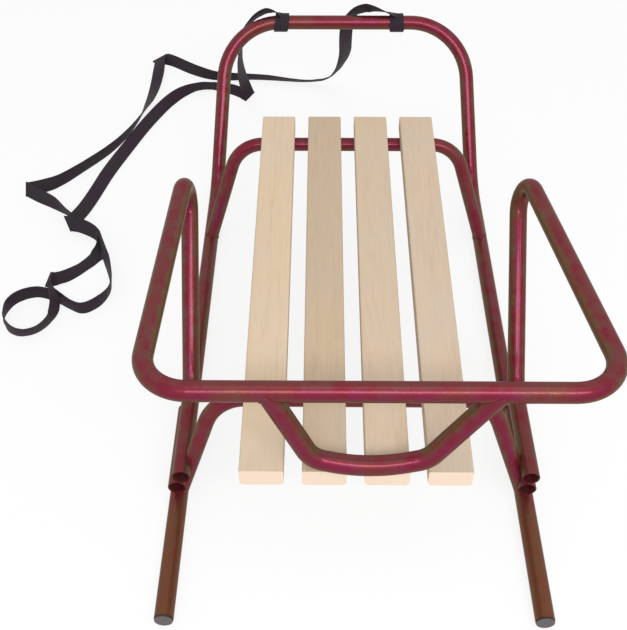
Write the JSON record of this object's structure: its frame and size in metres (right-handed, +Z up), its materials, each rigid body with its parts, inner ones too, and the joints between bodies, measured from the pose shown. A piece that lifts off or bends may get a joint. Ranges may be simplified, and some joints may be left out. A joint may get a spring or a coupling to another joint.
{
  "type": "children's sled",
  "caption": "Children's sled: bent tube runners and front arch, wooden slats on tube supports, a low backrest loop and a flat pull strap.",
  "frame": {"origin": "on the floor, on the runners' centre plane, under the middle of the frame's length", "axes": "+Y forward along the runners, +Z up, +X to the rider's right"},
  "size_m": [0.7312, 1.0922, 0.266],
  "materials": {
    "frame_paint": "gloss metallic",
    "slat_wood": "planed, clear",
    "plug_plastic": "matte",
    "strap_webbing": "woven webbing"
  },
  "bodies": {
    "root": {"runner_tube": "frame_paint", "handle_socket_left": "frame_paint", "handle_socket_right": "frame_paint", "backrest_loop": "frame_paint", "backrest_arc": "frame_paint", "front_support": "frame_paint", "rear_support": "frame_paint", "slat_1": "slat_wood", "slat_2": "slat_wood", "slat_3": "slat_wood", "slat_4": "slat_wood", "runner_plug_left": "plug_plastic", "runner_plug_right": "plug_plastic", "strap_wrap_left": "strap_webbing", "strap_wrap_right": "strap_webbing", "pull_strap": "strap_webbing"}
  },
  "joints": []
}
